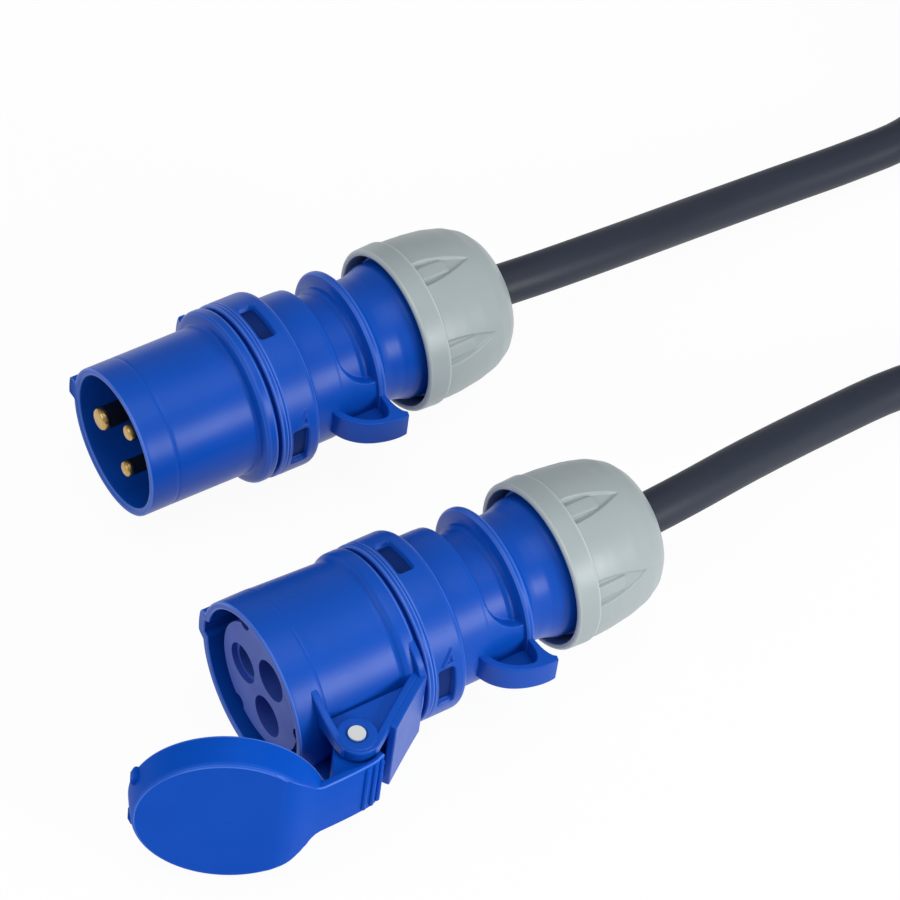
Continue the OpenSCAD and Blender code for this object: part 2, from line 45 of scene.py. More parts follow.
view_back = Vector((-0.4050, -0.5059, 0.7616)).normalized()
view_up = Vector((0.3579, 0.6788, 0.6412))
view_right = view_up.cross(view_back).normalized()
view_up = view_back.cross(view_right)
camera = bpy.data.objects.new("view", bpy.data.cameras.new("view"))
camera.data.lens = lens_mm
camera.data.sensor_width = sensor_mm
camera.data.clip_end = 20
camera.matrix_world = Matrix.Translation(view_from) @ Matrix(
    (view_right, view_up, view_back)).transposed().to_4x4()
bpy.context.scene.collection.objects.link(camera)
bpy.context.scene.camera = camera

# ---------------------------------------------------------------- the cable
# Rubber sheathed lead, 12.5 mm thick and 5 m long. It leaves the plug's gland, comes down to the
# floor, is stored as a coil of nine turns past the picture's edge, and ends in the connector.
mm = 0.001
plug_at = np.array([-32.15, 55.75, 26.0])
conn_at = np.array([-42.15, -36.25, 26.0])
cable_r = 6.25
cable_sides = 28
coil_at = np.array([367.85, 9.75])
coil_start = 126
turn_parts = 18
row_r = (65.5, 78.0, 90.5)
row_z = (7.45, 19.95, 32.45)
plug_run = np.array([
    [65.0, 55.75, 26], [76.0, 55.75, 26], [90.85, 55.6, 26], [112.0, 54.8, 25], [138.0, 56.4, 21],
    [171.0, 60.1, 14], [203.0, 61.9, 9.45], [231.0, 62.0, 7.45], [252.0, 62.4, 7.45],
    [273.0, 68.4, 7.45], [292.0, 78.6, 7.45]])
conn_run = np.array([
    [291.5, -62.6, 28.0], [283.0, -56.4, 23.0], [267.0, -45.0, 15.0], [246.0, -33.4, 9.6],
    [220.0, -24.6, 7.45], [189.0, -20.6, 9.0], [156.5, -24.0, 14], [126.0, -29.6, 20.8],
    [101.0, -34.2, 25], [80.85, -36.1, 26], [66.0, -36.25, 26], [55.0, -36.25, 26]])


def eased(turn, knots):
    """Values held at the knots, with an S-shaped passage from each to the next."""
    k = np.array(knots)
    i = np.clip(np.searchsorted(k[:, 0], turn, side="right") - 1, 0, len(k) - 2)
    u = (turn - k[i, 0]) / (k[i + 1, 0] - k[i, 0])
    u = u * u * (3 - 2 * u)
    return k[i, 1:] + (k[i + 1, 1:] - k[i, 1:]) * u[:, None]


def coil_line():
    """Clockwise turns seen from above: three rows inwards on the floor, three outwards on them,
    three inwards on top, then the tail climbs over the top row and drops outside the coil.
    Each knot gives the turn, the radius and the height."""
    (a, b, c), (low, mid, top) = row_r, row_z
    knots = [(0, 98.8, low), (0.22, c, low), (0.82, c, low), (1.12, b, low), (1.82, b, low),
             (2.12, a, low), (2.82, a, low), (3.12, a, mid), (3.82, a, mid), (4.12, b, mid),
             (4.82, b, mid), (5.12, c, mid), (5.82, c, mid), (6.12, c, top), (6.82, c, top),
             (7.12, b, top), (7.82, b, top), (8.12, a, top), (8.34, a, top), (8.47, 77, 45),
             (8.60, 98, 43), (8.715, 104, 32)]
    turn = np.arange(0, knots[-1][0] + 1e-4, 1 / turn_parts)
    r, z = eased(turn, knots).T
    angle = np.radians(coil_start - 360 * turn)
    return np.stack([coil_at[0] + r * np.cos(angle), coil_at[1] + r * np.sin(angle), z], 1)


def through(points, parts):
    """Catmull-Rom curve through the points, with so many parts to a span."""
    p = np.concatenate([2 * points[:1] - points[1:2], points, 2 * points[-1:] - points[-2:-1]])
    a, b, c, d = (p[i:len(p) - 3 + i, None] for i in range(4))
    u = np.arange(parts)[None, :, None] / parts
    line = 0.5 * (2 * b + (c - a) * u + (2 * a - 5 * b + 4 * c - d) * u ** 2
                  + (3 * b - a - 3 * c + d) * u ** 3)
    return np.concatenate([line.reshape(-1, points.shape[1]), points[-1:]])


def unit(v):
    """Vectors divided by their own lengths."""
    return v / np.linalg.norm(v, axis=-1, keepdims=True)


def built(name, points, faces, highlight_share=None):
    """A smooth piece from points in millimetres and their faces, with doubles merged, open ends
    closed and faces turned outwards. Each point's share of painted edge highlight is kept for the finish."""
    mesh = bpy.data.meshes.new(name)
    mesh.from_pydata((points * mm).tolist(), [], faces)
    if highlight_share is not None:
        share = mesh.attributes.new("highlight_share", "FLOAT", "POINT")
        share.data.foreach_set("value", highlight_share.astype(np.float32).ravel())
    work = bmesh.new()
    work.from_mesh(mesh)
    bmesh.ops.remove_doubles(work, verts=work.verts, dist=1e-7)
    open_edges = [e for e in work.edges if e.is_boundary]
    if open_edges:
        bmesh.ops.holes_fill(work, edges=open_edges, sides=0)
    bmesh.ops.recalc_face_normals(work, faces=work.faces)
    work.to_mesh(mesh)
    work.free()
    mesh.shade_smooth()
    piece = bpy.data.objects.new(name, mesh)
    bpy.context.scene.collection.objects.link(piece)
    return piece


def surface(name, grid, rows_close=False, highlight_share=0.0):
    """Quads between neighbouring points of a grid. Each row closes on itself, and the last row
    joins the first where the rows close too."""
    n, m = grid.shape[:2]
    i = np.arange(n if rows_close else n - 1)[:, None]
    j = np.arange(m)[None, :]
    quads = np.stack([i * m + j, i * m + (j + 1) % m,
                      (i + 1) % n * m + (j + 1) % m, (i + 1) % n * m + j], -1).reshape(-1, 4)
    return built(name, grid.reshape(-1, 3), quads.tolist(), np.broadcast_to(highlight_share, (n, m)))


def tube(line, r, sides):
    """A circle of radius r carried along a line that never stands upright."""
    d = unit(np.gradient(line, axis=0))
    u = unit(np.cross(d, [0.0, 0.0, 1.0]))
    v = np.cross(u, d)
    a = np.linspace(0, 2 * np.pi, sides, endpoint=False)[None, :, None]
    return line[:, None] + r * (np.cos(a) * u[:, None] + np.sin(a) * v[:, None])


def srgb(r, g, b):
    """A colour as it looks on a screen, from 0 to 255, as linear light."""
    c = np.array([r, g, b]) / 255
    return (*np.where(c <= 0.04045, c / 12.92, ((c + 0.055) / 1.055) ** 2.4), 1.0)


def moulded_skin():
    """Node group: slow clouds of a second colour, a lighter colour painted on sharp edges as a
    highlight, fine grain, and the roughness and height they give."""
    group = bpy.data.node_groups.new("moulded_skin", "ShaderNodeTree")
    for way, kind, names in (
            ("INPUT", "Vector", ["Vector"]), ("INPUT", "Color", ["Colour", "Second", "Painted Highlight"]),
            ("INPUT", "Float", ["Clouds", "Grain", "Smooth", "Rough", "Highlight Share"]),
            ("OUTPUT", "Color", ["Colour"]), ("OUTPUT", "Float", ["Roughness", "Height"])):
        for name in names:
            group.interface.new_socket(name, in_out=way, socket_type="NodeSocket" + kind)
    add, link = group.nodes.new, group.links.new
    given, out = add("NodeGroupInput"), add("NodeGroupOutput")
    clouds, grain = add("ShaderNodeTexNoise"), add("ShaderNodeTexNoise")
    clouds.inputs["Detail"].default_value = 4
    grain.inputs["Detail"].default_value = 2
    link(given.outputs["Vector"], clouds.inputs["Vector"])
    link(given.outputs["Vector"], grain.inputs["Vector"])
    link(given.outputs["Clouds"], clouds.inputs["Scale"])
    link(given.outputs["Grain"], grain.inputs["Scale"])

    two_tone, painted_highlight = add("ShaderNodeMix"), add("ShaderNodeMix")
    two_tone.data_type = painted_highlight.data_type = "RGBA"
    link(clouds.outputs["Fac"], two_tone.inputs["Factor"])
    link(given.outputs["Colour"], two_tone.inputs["A"])
    link(given.outputs["Second"], two_tone.inputs["B"])

    # Painted highlight: the edge share, made uneven by the clouds, mixes the lighter colour in.
    uneven, highlight_amount = add("ShaderNodeMapRange"), add("ShaderNodeMath")
    uneven.inputs["From Min"].default_value = 0.3
    uneven.inputs["From Max"].default_value = 0.6
    uneven.inputs["To Min"].default_value = 0.45
    highlight_amount.operation = "MULTIPLY"
    link(clouds.outputs["Fac"], uneven.inputs["Value"])
    link(given.outputs["Highlight Share"], highlight_amount.inputs[0])
    link(uneven.outputs["Result"], highlight_amount.inputs[1])
    link(highlight_amount.outputs[0], painted_highlight.inputs["Factor"])
    link(two_tone.outputs["Result"], painted_highlight.inputs["A"])
    link(given.outputs["Painted Highlight"], painted_highlight.inputs["B"])

    dull, span = add("ShaderNodeMath"), add("ShaderNodeMapRange")
    dull.operation = "MULTIPLY_ADD"
    dull.inputs[1].default_value = 0.5
    span.inputs["From Min"].default_value = 0.45
    span.inputs["From Max"].default_value = 1.05
    link(grain.outputs["Fac"], dull.inputs[0])
    link(clouds.outputs["Fac"], dull.inputs[2])
    link(dull.outputs[0], span.inputs["Value"])
    link(given.outputs["Smooth"], span.inputs["To Min"])
    link(given.outputs["Rough"], span.inputs["To Max"])

    link(painted_highlight.outputs["Result"], out.inputs["Colour"])
    link(span.outputs["Result"], out.inputs["Roughness"])
    link(grain.outputs["Fac"], out.inputs["Height"])
    return group


skin_group = moulded_skin()
grain_height = 0.0002


def finish_of(name, colour, second, clouds, grain, gloss, bump, metallic=0.0, specular=0.5, painted_highlight=None):
    """A material whose colour, gloss and fine relief come from the moulded skin group. Clouds and
    grain are scales, gloss is the roughness from and to, and a given highlight colour is painted on sharp
    edges."""
    material = bpy.data.materials.new(name)
    material.use_nodes = True
    nodes, link = material.node_tree.nodes, material.node_tree.links.new
    shader = nodes["Principled BSDF"]
    place, skin, relief = (nodes.new("ShaderNodeTexCoord"), nodes.new("ShaderNodeGroup"),
                           nodes.new("ShaderNodeBump"))
    skin.node_tree = skin_group
    link(place.outputs["Object"], skin.inputs["Vector"])
    for key, value in (("Colour", colour), ("Second", second), ("Clouds", clouds), ("Grain", grain),
                       ("Smooth", gloss[0]), ("Rough", gloss[1])):
        skin.inputs[key].default_value = value
    # The lighter colour on sharp edges is a painted highlight.
    if painted_highlight is not None:
        edges = nodes.new("ShaderNodeAttribute")
        edges.attribute_name = "highlight_share"
        link(edges.outputs["Fac"], skin.inputs["Highlight Share"])
        skin.inputs["Painted Highlight"].default_value = painted_highlight
    link(skin.outputs["Colour"], shader.inputs["Base Color"])
    link(skin.outputs["Roughness"], shader.inputs["Roughness"])
    link(skin.outputs["Height"], relief.inputs["Height"])
    relief.inputs["Strength"].default_value = bump
    relief.inputs["Distance"].default_value = grain_height
    link(relief.outputs["Normal"], shader.inputs["Normal"])
    shader.inputs["Metallic"].default_value = metallic
    shader.inputs["Specular IOR Level"].default_value = specular
    return material


def fitted(piece, material, slot, *stands_for, body="lead"):
    """The piece with its material, its body, and the solids that it stands for. The slot is not used."""
    piece.data.materials.append(material)
    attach(piece, body)
    if stands_for:
        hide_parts(*stands_for)
    return piece


sheath = finish_of("rubber_sheath", srgb(29, 35, 48), srgb(39, 46, 61), clouds=30, grain=1600,
                   gloss=(0.44, 0.58), bump=0.22, specular=0.32)
cable_line = through(np.concatenate([plug_run, coil_line(), conn_run]), 4)
cable = fitted(surface("cable", tube(cable_line, cable_r, cable_sides)), sheath, "cable_sheath",
               "cable_plug_run", "cable_coil", "cable_connector_run")

# ---------------------------------------------------------------- the tie on the coil
# A flat woven strap, drawn tight round the nine turns where they lie square on each other.
# It holds the stored length of the cable together.
tie_mid = np.array([coil_at[0] + row_r[1], row_z[1]])
tie_r = cable_r + 0.1
tie_reach = 2 * cable_r + tie_r
tie_parts = 96
tie_section = np.array([[-9, 0.0], [-9.4, 0.35], [-9, 0.8], [0, 0.95], [9, 0.8], [9.4, 0.35], [9, 0.0],
                        [0, 0.0]])


def tie_ring(half, r, parts):
    """A square with round corners in the plane across the turns, as offsets along X and Z."""
    a = np.linspace(0, 2 * np.pi, parts, endpoint=False)
    way = np.stack([np.cos(a), np.sin(a)], 1)
    return np.clip(1.6 * way, -1, 1) * (half - r) + r * way


tie_loop = tie_ring(tie_reach, tie_r, tie_parts)
tie_xz = tie_mid + tie_loop[:, None] + unit(tie_loop)[:, None] * tie_section[None, :, 1:]
tie_grid = np.stack([tie_xz[..., 0], coil_at[1] + tie_section[:, 0] + 0 * tie_xz[..., 0], tie_xz[..., 1]], -1)
tie_weave = finish_of("strap_weave", srgb(30, 31, 34), srgb(44, 45, 49), clouds=80, grain=900,
                      gloss=(0.6, 0.85), bump=0.5)
tie = fitted(surface("coil_strap", tie_grid, rows_close=True), tie_weave, "tie_strap", "coil_tie")

# ---------------------------------------------------------------- floor and lamps
# A white table under soft studio lamps: a low one in front on the right, one overhead and a
# fill on the left. The table shows itself as near white, and keeps the shadows.
floor_mesh = bpy.data.meshes.new("floor")
floor_mesh.from_pydata([(-4, -4, 0), (4, -4, 0), (4, 4, 0), (-4, 4, 0)], [], [(0, 1, 2, 3)])
floor = bpy.data.objects.new("floor", floor_mesh)
floor.location.z = -0.0004
bpy.context.scene.collection.objects.link(floor)
white_share = 0.95
table = bpy.data.materials.new("white_table")
table.use_nodes = True
table_nodes, table_link = table.node_tree.nodes, table.node_tree.links.new
table_shader = table_nodes["Principled BSDF"]
table_shader.inputs["Base Color"].default_value = (0.86, 0.86, 0.87, 1)
table_shader.inputs["Roughness"].default_value = 0.9
table_shader.inputs["Specular IOR Level"].default_value = 0.1
glow, share, rays = (table_nodes.new("ShaderNodeEmission"), table_nodes.new("ShaderNodeMixShader"),
                     table_nodes.new("ShaderNodeLightPath"))
seen, seen_all, part = (table_nodes.new("ShaderNodeMath") for _ in range(3))
seen.operation = seen_all.operation = "MAXIMUM"
part.operation = "MULTIPLY"
part.inputs[1].default_value = white_share
table_link(rays.outputs["Is Camera Ray"], seen.inputs[0])
table_link(rays.outputs["Is Glossy Ray"], seen.inputs[1])
table_link(seen.outputs[0], seen_all.inputs[0])
table_link(rays.outputs["Is Transmission Ray"], seen_all.inputs[1])
table_link(seen_all.outputs[0], part.inputs[0])
table_link(part.outputs[0], share.inputs["Fac"])
table_link(table_shader.outputs["BSDF"], share.inputs[1])
table_link(glow.outputs["Emission"], share.inputs[2])
table_link(share.outputs["Shader"], table_nodes["Material Output"].inputs["Surface"])
floor_mesh.materials.append(table)

world = bpy.data.worlds.new("studio")
bpy.context.scene.world = world
world.use_nodes = True
world.node_tree.nodes["Background"].inputs["Color"].default_value = (0.93, 0.95, 1.0, 1)
world.node_tree.nodes["Background"].inputs["Strength"].default_value = 0.46


def lamp(name, place, aim, size, power):
    """A square softbox that looks at a point."""
    light = bpy.data.objects.new(name, bpy.data.lights.new(name, "AREA"))
    light.data.size = size
    light.data.energy = power
    light.location = place
    light.rotation_euler = (Vector(aim) - Vector(place)).to_track_quat("-Z", "Y").to_euler()
    bpy.context.scene.collection.objects.link(light)


lamp("front_key", (0.50, -1.02, 0.46), aim=(0.02, 0.0, 0.02), size=0.42, power=8.8)
lamp("overhead", (0.10, -0.20, 1.35), aim=(0.05, 0.0, 0.0), size=0.9, power=6)
lamp("left_fill", (-1.2, 0.1, 0.7), aim=(0.0, 0.0, 0.02), size=0.8, power=4)
bpy.context.scene.view_settings.view_transform = "Standard"

# ---------------------------------------------------------------- the plug's front shell
# Blue nylon moulding: a plain shroud round the pins with a key rib on one side, a flare to the
# flange, a lug in line with the key, and a spigot that the rear shell locks on.
# A lighter blue painted on sharp edges as their highlight line.
highlight_blue = srgb(84, 124, 218)
blue_shell = finish_of("blue_nylon", srgb(8, 77, 180), srgb(6, 70, 168), clouds=55, grain=2600,
                       gloss=(0.30, 0.38), bump=0.10, specular=0.17, painted_highlight=highlight_blue)


def rounded(line, ease, step):
    """A closed outline with its corners eased by quadratic arcs and its points no further apart
    than the step, and for each point the number of the corner before it."""
    p = np.array(line, float)
    a, b = np.roll(p, 1, 0) - p, np.roll(p, -1, 0) - p
    la, lb = np.linalg.norm(a, axis=1), np.linalg.norm(b, axis=1)
    cut = np.minimum(ease, 0.45 * np.minimum(la, lb))
    u = np.linspace(0, 1, 4)[None, :, None]
    s, e = p + a * (cut / la)[:, None], p + b * (cut / lb)[:, None]
    q = (1 - u) ** 2 * s[:, None] + 2 * u * (1 - u) * p[:, None] + u ** 2 * e[:, None]
    turns = np.abs(a[:, 0] * b[:, 1] - a[:, 1] * b[:, 0]) > 0.02 * la * lb
    kept = turns[:, None] | (np.arange(4) == 0)
    q, corner = q[kept], np.repeat(np.arange(len(p)), 4)[kept.ravel()]
    d = np.roll(q, -1, 0) - q
    k = np.maximum(np.ceil(np.linalg.norm(d, axis=1) / step), 1).astype(int)
    at = np.repeat(np.arange(len(q)), k)
    u = (np.arange(k.sum()) - np.repeat(np.cumsum(k) - k, k)) / np.repeat(k, k)
    return q[at] + d[at] * u[:, None], corner[at]


def rise(x, at, soft):
    """From 0 to 1 over a soft width about a place."""
    u = np.clip((x - at) / soft + 0.5, 0, 1)
    return u * u * (3 - 2 * u)


def band(x, low, high, soft):
    """1 between two places and 0 outside them, with soft edges."""
    return rise(x, low, soft) * (1 - rise(x, high, soft))


def around(step, edges, soft):
    """Angles about an axis in degrees, closer together at the edges."""
    near = (np.array(edges)[:, None] + soft * np.array([-1, -0.5, 0, 0.5, 1])).ravel() % 360
    return np.unique(np.round(np.concatenate([np.arange(0, 360, step), near]), 3))


def highlight_edges(line):
    """How sharply a closed profile turns outwards at each point, as the share of painted edge
    highlight: 0 on flats, hollows and at the axis, 1 on a crisp corner."""
    ahead, behind = np.roll(line, -1, 0) - line, line - np.roll(line, 1, 0)
    cross = behind[:, 1] * ahead[:, 0] - behind[:, 0] * ahead[:, 1]
    bend = np.arctan2(cross, (behind * ahead).sum(1))
    reach = (np.linalg.norm(ahead, axis=1) + np.linalg.norm(behind, axis=1)) / 2
    return np.clip(bend / np.maximum(reach, 0.05) - 0.4, 0, 1)[:, None] * (line[:, 1:] > 1)


def turned(name, line, outer, ease, step, angles, place, relief=None):
    """A closed profile of (distance behind the mouth, radius) turned about the axis. Angle 0 points
    to +Y and 90 up. The relief changes the radius of the first so many sides of the profile."""
    line, side = rounded(line, ease, step)
    t, r = line[:, :1], line[:, 1:]
    phi = angles[None, :]
    r = r + np.zeros_like(phi)
    if relief is not None:
        r = np.where((side < outer)[:, None], relief(t + 0 * phi, r, phi), r)
    a = np.radians(phi)
    grid = np.stack([place[0] + t + 0 * a, place[1] + r * np.cos(a), place[2] + r * np.sin(a)], -1)
    return surface(name, grid, rows_close=True, highlight_share=highlight_edges(line))


def beside_key(phi, r):
    """Distance sideways from the key's middle line at angle 0, out of reach on the far side."""
    return r * np.sin(np.radians(phi)) + 99 * (np.cos(np.radians(phi)) < 0)


def parting(t, at, deep):
    """A fine parting line round the piece: a narrow bell-shaped groove."""
    return deep * np.exp(-((t - at) / 0.22) ** 2)


shroud_r, shroud_parting = 22.0, 8.7
key_half, key_r, key_end = 3.0, 24.4, 33.5
lug_half, lug_r, lug_start, lug_end = 5.0, 28.2, 36.2, 39.6


def plug_front_relief(t, r, phi):
    """Key rib and lug raised to their own radius at angle 0, and a fine parting line round the shroud."""
    across = beside_key(phi, shroud_r)
    r = r - parting(t, shroud_parting, 0.16)
    key = band(across, -key_half, key_half, 0.5) * (1 - rise(t, key_end, 0.8))
    r = r + key * np.clip(key_r - r, 0, None)
    lug = band(across, -lug_half, lug_half, 0.5) * band(t, lug_start, lug_end, 0.5)
    return r + lug * np.clip(lug_r - r, 0, None)


plug_front_line = [
    (0, 20.6), (0, 22), (8.2, 22), (8.5, 22), (8.7, 22), (8.9, 22), (9.2, 22), (33.7, 22.1), (34.2, 22.6),
    (34.6, 24.3), (35.1, 25.3), (35.9, 25.8), (38.1, 25.8), (38.7, 25.2), (38.7, 23.4), (47.5, 23.4),
    (47.5, 21.4), (38.5, 21.4), (38.5, 19.7), (0.5, 19.7)]
plug_front_angles = around(1.5, (-12.9, -7.9, 7.9, 12.9), 1.2)
plug_front = turned("plug_front", plug_front_line, outer=14, ease=0.8, step=0.9,
                    angles=plug_front_angles, place=plug_at, relief=plug_front_relief)
fitted(plug_front, blue_shell, "blue_shell", "plug_front_shell")

# ---------------------------------------------------------------- pins and their carrier
# Turned brass pins, bright at the tips and coloured near black along the shafts as painted shade, pressed
# into a moulded disc.
# The earth pin is thicker and longer, in line with the key, and the connector's sleeves match them.


def dress(material, *names):
    """A CAD piece keeps its shape and takes this material."""
    for name in names:
        node[name].data.materials.clear()
        node[name].data.materials.append(material)


brass = finish_of("turned_brass", srgb(206, 172, 108), srgb(176, 142, 82), clouds=200, grain=3000,
                  gloss=(0.22, 0.40), bump=0.12, metallic=1.0)
# Painted shade: the shafts are coloured near black for the shade and dark reflections inside the shroud.
pin_shade_black = finish_of("pin_painted_shade", srgb(14, 17, 26), srgb(22, 26, 36), clouds=140, grain=2400,
                     gloss=(0.30, 0.46), bump=0.10)
dress(brass, "connector_earth_sleeve", "connector_line_sleeve", "connector_neutral_sleeve")
pin_circle = 9
pin_root = 30.0
bright_tip = 2.1
shaft_step = 0.12
for name, r, tip, angle in (("earth", 3.5, 0.5, 0), ("line", 2.5, 1.4, 240), ("neutral", 2.5, 1.4, 120)):
    shaft = tip + bright_tip
    pin_line = [(tip, 0.02), (tip, r - 0.9), (tip + 0.5, r - 0.25), (tip + 1.5, r), (shaft, r),
                (shaft + 0.1, r - shaft_step), (pin_root, r - shaft_step), (pin_root, 0.02)]
    pole = pin_circle * np.array([0, np.cos(np.radians(angle)), np.sin(np.radians(angle))])
    pin = turned("plug_" + name, pin_line, outer=0, ease=0.35, step=0.8, angles=np.arange(0, 360, 6.0),
                 place=plug_at + pole)
    fitted(pin, brass, "contact_brass", f"plug_{name}_pin")
    pin.data.materials.append(pin_shade_black)
    # Faces behind the bright tip take the painted shade colour.
    middle = np.zeros(len(pin.data.polygons) * 3)
    pin.data.polygons.foreach_get("center", middle)
    behind = middle[::3] / mm - plug_at[0] > shaft + 0.05
    pin.data.polygons.foreach_set("material_index", behind.astype(np.int32))
dress(finish_of("carrier_nylon", srgb(8, 26, 74), srgb(6, 20, 60), clouds=60, grain=2200,
                gloss=(0.45, 0.6), bump=0.15), "plug_pin_carrier")

# ---------------------------------------------------------------- the rear shells
# The same blue moulding on both ends: a collar with four latch windows, a barrel with a finger
# recess that stops short of the wing, a grip flange, and a threaded neck for the nut.
ends = (("plug", plug_at), ("connector", conn_at))
window_mids = {"plug": (0, 86, 180, 270), "connector": (-6, 78, 174, 264)}
collar_r, barrel_r = 26, 22
window_t, window_wide, window_long = 45.6, 5.8, 1.5
window_corner, window_deep = 1.0, 2.2
flange_t, wing_gap = 72.6, 21
recess_long, recess_wide, recess_deep, recess_step = 9.6, 11, 3.5, 0.9
arrow_t, arrow_turn, arrow_long, arrow_high = 44.0, 17.5, 4.2, 0.7
rear_line = [(39.8, 23.9), (39.8, 25.4), (40.2, 25.95), (41.4, 26), (41.8, 25.6), (42.2, 25.95)]
rear_line += [(t, collar_r) for t in np.arange(42.5, 49.2, 0.25)]
rear_line += [(50.9, 26), (51.9, 25.5), (52.4, 23.2), (53.2, 22.3), (61.6, 22.2)]
rear_line += [(t, 22.1) for t in np.arange(62.2, 72.4, 0.4)]
rear_line += [(72.6, 22.2), (72.9, 23.3), (73.5, 23.7), (74.8, 23.7), (75.5, 22.6), (76.1, 20.4),
              (77.4, 18.9), (80, 18.6), (84, 18.8), (87, 19.7), (88.6, 20.4), (93, 20.4), (93, 21.4),
              (95, 21.4), (95, 20.4), (98, 20.4), (98, 21.4), (100, 21.4), (100, 20.4), (105, 19.8)]
rear_outer = len(rear_line)
rear_line += [(105, 11.3), (93.7, 11.3), (93.7, 8.8), (91.7, 8.8), (90, 13.3), (79, 16.4), (62, 17.2),
              (54, 19.4), (48.5, 23.7), (39.9, 23.7)]


def about(phi, mid):
    """Angle from a middle line, from -180 to 180."""
    return (phi - mid + 180) % 360 - 180


def rear_relief(mids):
    """Four windows with round corners in the collar, a flat-bottomed finger recess whose front edge
    swings back to the grip flange before the wing, and a raised outline of an arrow."""
    def relief(t, r, phi):
        for mid in mids:
            wide = np.abs(collar_r * np.radians(about(phi, mid))) - window_wide
            over = np.hypot(np.clip(wide, 0, None), np.clip(np.abs(t - window_t) - window_long, 0, None))
            r = r - window_deep * (1 - rise(over, window_corner, 0.35))
        past = barrel_r * np.radians(np.abs(about(phi, 180)) - wing_gap)
        reach = np.hypot((flange_t - t) / recess_long, np.clip(recess_wide - past, 0, None) / recess_wide)
        inside = rise((1 - reach) * recess_long, 0.45, 0.8) * (t < flange_t - 0.05)
        r = r - inside * (recess_deep - recess_step * rise(t, 70.6, 0.5))
        x, y = t - arrow_t, collar_r * np.radians(mids[2] - arrow_turn - phi)
        from_edge = np.minimum(np.minimum(y, arrow_long - 0.07 * y - x), (4.6 * x - 3.9 * y) / 6.03)
        return r + arrow_high * band(from_edge, 0, 0.75, 0.2)
    return relief


# Painted shade: a dark navy ring inside the collar fills the window floors with the colour of shade.
window_shade_navy = finish_of("window_painted_shade", srgb(7, 44, 114), srgb(5, 36, 97), clouds=60, grain=2200,
                       gloss=(0.5, 0.65), bump=0.12, specular=0.1)
shade_ring_line = [(41.5, 23.8), (41.5, 24.3), (49.6, 24.3), (49.6, 23.8)]
window_side = np.arange(12, 16.1, 0.5)
window_near = np.concatenate([-window_side, np.arange(-9, 9.1, 4.5), window_side])
for side, place in ends:
    mids = window_mids[side]
    shade_ring = turned(side + "_window_shade_ring", shade_ring_line, outer=0, ease=0.1, step=2.0,
                   angles=np.arange(0, 360, 3.0), place=place)
    fitted(shade_ring, window_shade_navy, "blue_insert")
    close = np.concatenate([
        np.add.outer(mids, window_near).ravel() % 360, np.arange(mids[2] - 28, mids[2] - 17, 0.5),
        np.arange(132, 160, 1.2), np.arange(200, 228, 1.2), np.arange(0, 360, 2.4)])
    shell = turned(side + "_rear", rear_line, outer=rear_outer, ease=0.7, step=1.6,
                   angles=np.unique(np.round(close, 1)), place=place, relief=rear_relief(mids))
    fitted(shell, blue_shell, "blue_shell", side + "_rear_shell")

# ---------------------------------------------------------------- the grip wings
# A hooked fin on each rear shell, moulded with it: a thin wall that sweeps out from the barrel and
# back to the grip flange, with a web set low between them.


def slab(name, outline, low, high, place, ease, axes=(0, 1, 2), moved=None):
    """A flat outline on the first two axes given a height on the third, its edges eased by a bevel."""
    p = np.array(outline, float)
    n = len(p)
    points = np.zeros((2 * n, 3))
    points[:, axes[0]], points[:, axes[1]] = np.tile(p, (2, 1)).T
    points[:, axes[2]] = np.repeat([low, high], n)
    points = points + place
    if moved is not None:
        points = moved(points)
    i = np.arange(n)
    sides = np.stack([i, (i + 1) % n, (i + 1) % n + n, i + n], 1).tolist()
    piece = built(name, points, [i[::-1].tolist(), (i + n).tolist()] + sides)
    piece.data.set_sharp_from_angle(angle=0.7)
    soft = piece.modifiers.new("eased_edges", "BEVEL")
    soft.width = ease * mm
    soft.segments = 3
    soft.limit_method = "ANGLE"
    soft.angle_limit = 0.6
    soft.harden_normals = False
    return piece


wing_out = np.array([(57.6, -20.4), (58.3, -23.4), (60.0, -26.6), (62.8, -29.4), (66.4, -31.4),
                     (70.4, -32.6), (74.0, -33.0), (76.6, -32.8)])
wing_in = np.array([(77.0, -31.3), (75.9, -30.2), (75.0, -27.8), (74.6, -24.6), (74.4, -20.4)])
wing_back = np.array([(72.9, -20.4), (72.9, -25.6), (72.2, -28.6), (70.4, -30.2), (67.0, -29.4),
                      (64.0, -27.6), (61.8, -25.2), (60.6, -22.6), (60.2, -20.4)])
wing_wall = np.concatenate([through(wing_out, 4), through(wing_in, 4), through(wing_back, 4)])
wing_web = np.concatenate([through(wing_out[1:-1], 3), [(74.2, -31.0), (73.6, -20.4)]]) * [1, 0.985]
for side, place in ends:
    for name, outline, low, high in (("_wing_wall", wing_wall, -4.2, 4.2),
                                     ("_wing_web", wing_web, -3.8, -1.6)):
        fitted(slab(side + name, outline, low, high, place, ease=0.55), blue_shell, "blue_shell")

# ---------------------------------------------------------------- the glands
# Pale grey nut with a plain skirt and six leaf-shaped grip pockets, screwed over a rubber seal and
# a clamp cage that hold the sheath.
nut_r = 24.4
pocket_mids = np.arange(6) * 60 + 38
pocket_t, pocket_long, pocket_half, pocket_deep, pocket_fade = 96.2, 17.0, 4.3, 1.3, 0.7
tab_t, tab_half, tab_round, tab_high = 104.2, 1.0, 1.2, 0.72
nut_line = [
    (89, 22.9), (89, 24.0), (89.6, 24.6), (95.3, 24.85), (95.8, 24.75), (96.1, 24.35), (96.6, 24.4),
    (99, 24.4), (103, 24.15), (110, 23.2), (115.5, 21.8), (119.6, 19.6), (122.2, 16.8), (123, 14.2),
    (123, 6.6), (120.5, 6.6), (118.8, 9.9), (110.5, 11.3), (108.5, 15.4), (105.5, 15.4), (105.5, 22.4),
    (91, 22.4)]


